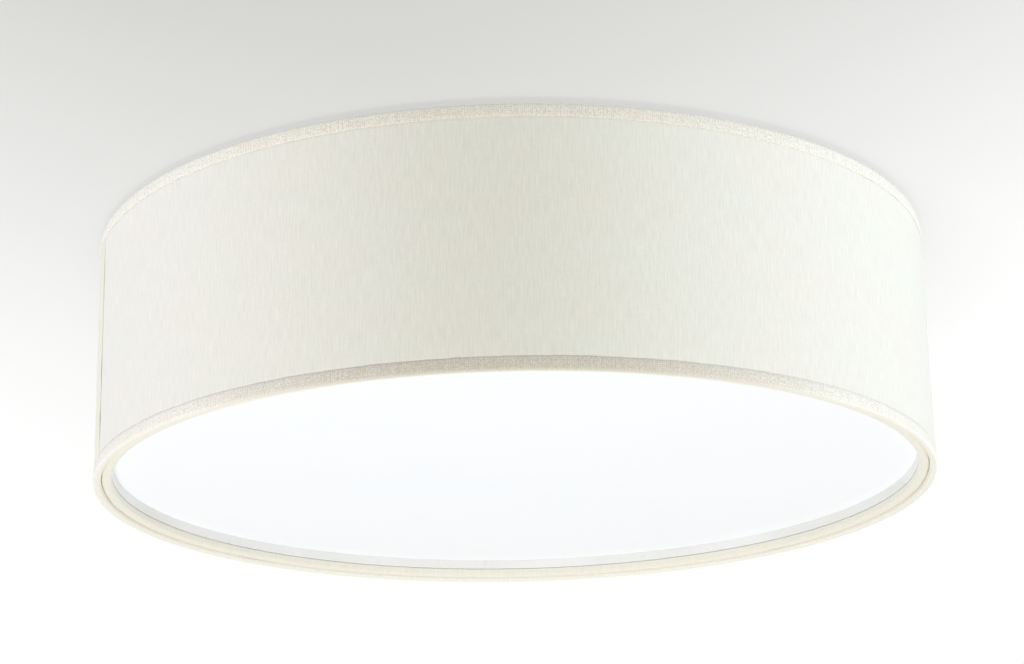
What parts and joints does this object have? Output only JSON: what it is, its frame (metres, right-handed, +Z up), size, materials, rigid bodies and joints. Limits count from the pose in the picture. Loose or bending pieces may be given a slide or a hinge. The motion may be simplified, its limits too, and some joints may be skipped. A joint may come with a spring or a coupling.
{
  "type": "flush ceiling light",
  "caption": "Drum-shaped cloth shade close under a ceiling, closed below by a recessed glossy opal disc; it hangs by a twist-on spider from a steel plate that carries two flat-lying bulbs.",
  "frame": {"origin": "middle of the ceiling plate's top face, which lies on the ceiling", "axes": "+Z up into the ceiling; +X along the bulbs towards the right-hand lampholder; +Y away from the picture's viewer, towards the cable inlet"},
  "size_m": [0.3999, 0.4, 0.12],
  "materials": {
    "cover_cloth": "fine plain weave, slightly slubbed, cream",
    "hem_cloth": "same cloth, folded and pressed",
    "liner_film": "white laminating film",
    "ring_steel": "drawn wire",
    "spider_enamel": "white powder coat",
    "lid_cloth": "same cloth, wrapped tight",
    "lid_core_plastic": "moulded",
    "hoop_plastic": "white, smooth",
    "opal_acrylic": "opal white, polished",
    "clip_steel": "spring steel strip",
    "plate_enamel": "white powder coat",
    "stud_steel": "zinc plated",
    "grommet_rubber": "black",
    "bracket_steel": "zinc plated sheet",
    "rivet_aluminium": "plain",
    "nipple_steel": "zinc plated, threaded",
    "holder_plastic": "white heat-resistant plastic",
    "insert_ceramic": "white insulating block",
    "shell_brass": "rolled sheet",
    "contact_brass": "spring brass",
    "bulb_contact": "soldered tip",
    "bulb_insulator": "black",
    "bulb_cap_metal": "nickel plated, knuckle thread",
    "bulb_housing_plastic": "white",
    "bulb_board": "white solder mask",
    "bulb_globe_opal": "frosted opal",
    "block_nylon": "natural nylon",
    "barrel_brass": "turned",
    "screw_steel": "zinc plated",
    "earth_screw_brass": "turned",
    "lug_tin": "tinned copper",
    "lead_live": "brown silicone insulation",
    "lead_neutral": "blue silicone insulation",
    "lead_earth": "green and yellow insulation"
  },
  "bodies": {
    "ceiling_unit": {"ceiling_plate": "plate_enamel", "shade_studs": "stud_steel", "cable_grommet": "grommet_rubber", "holder_bracket": "bracket_steel", "bracket_rivets": "rivet_aluminium", "terminal_block": "block_nylon", "terminal_barrels": "barrel_brass", "terminal_clamp_screws": "screw_steel", "terminal_fixing_screws": "screw_steel", "earth_lug": "lug_tin", "earth_screw": "earth_screw_brass", "earth_lead": "lead_earth", "live_lead_left": "lead_live", "neutral_lead_left": "lead_neutral", "holder_left_nipple": "nipple_steel", "holder_left_nut": "nipple_steel", "holder_left_cap": "holder_plastic", "holder_left_insert": "insert_ceramic", "holder_left_sleeve": "holder_plastic", "holder_left_thread_shell": "shell_brass", "holder_left_contact": "contact_brass", "live_lead_right": "lead_live", "neutral_lead_right": "lead_neutral", "holder_right_nipple": "nipple_steel", "holder_right_nut": "nipple_steel", "holder_right_cap": "holder_plastic", "holder_right_insert": "insert_ceramic", "holder_right_sleeve": "holder_plastic", "holder_right_thread_shell": "shell_brass", "holder_right_contact": "contact_brass"},
    "shade": {"fabric_cover": "cover_cloth", "shade_liner": "liner_film", "top_hem": "hem_cloth", "bottom_hem": "hem_cloth", "top_ring_wire": "ring_steel", "bottom_ring_wire": "ring_steel", "spider_ring": "spider_enamel", "spider_arms": "spider_enamel"},
    "diffuser_lid": {"lid_core": "lid_core_plastic", "lid_cloth_wrap": "lid_cloth", "lid_hoop": "hoop_plastic", "opal_disc": "opal_acrylic", "lid_clip_1": "clip_steel", "lid_clip_2": "clip_steel", "lid_clip_3": "clip_steel", "lid_clip_4": "clip_steel"},
    "bulb_left": {"bulb_left_tip": "bulb_contact", "bulb_left_insulator": "bulb_insulator", "bulb_left_cap": "bulb_cap_metal", "bulb_left_housing": "bulb_housing_plastic", "bulb_left_board": "bulb_board", "bulb_left_globe": "bulb_globe_opal"},
    "bulb_right": {"bulb_right_tip": "bulb_contact", "bulb_right_insulator": "bulb_insulator", "bulb_right_cap": "bulb_cap_metal", "bulb_right_housing": "bulb_housing_plastic", "bulb_right_board": "bulb_board", "bulb_right_globe": "bulb_globe_opal"}
  },
  "joints": [
    {"name": "shade_twist", "type": "hinge", "parent": "ceiling_unit", "child": "shade", "pos_m": [0, 0, -0.01295], "axis": [0, 0, -1], "range_deg": [0, 12]},
    {"name": "lid_pull", "type": "slide", "parent": "shade", "child": "diffuser_lid", "axis": [0, 0, -1], "range_m": [0, 0.011]},
    {"name": "bulb_left_turn", "type": "hinge", "parent": "ceiling_unit", "child": "bulb_left", "pos_m": [-0.05, 0, -0.058], "axis": [-1, 0, 0], "range_deg": [0, 1080]},
    {"name": "bulb_right_turn", "type": "hinge", "parent": "ceiling_unit", "child": "bulb_right", "pos_m": [0.05, 0, -0.058], "axis": [1, 0, 0], "range_deg": [0, 1080]}
  ]
}
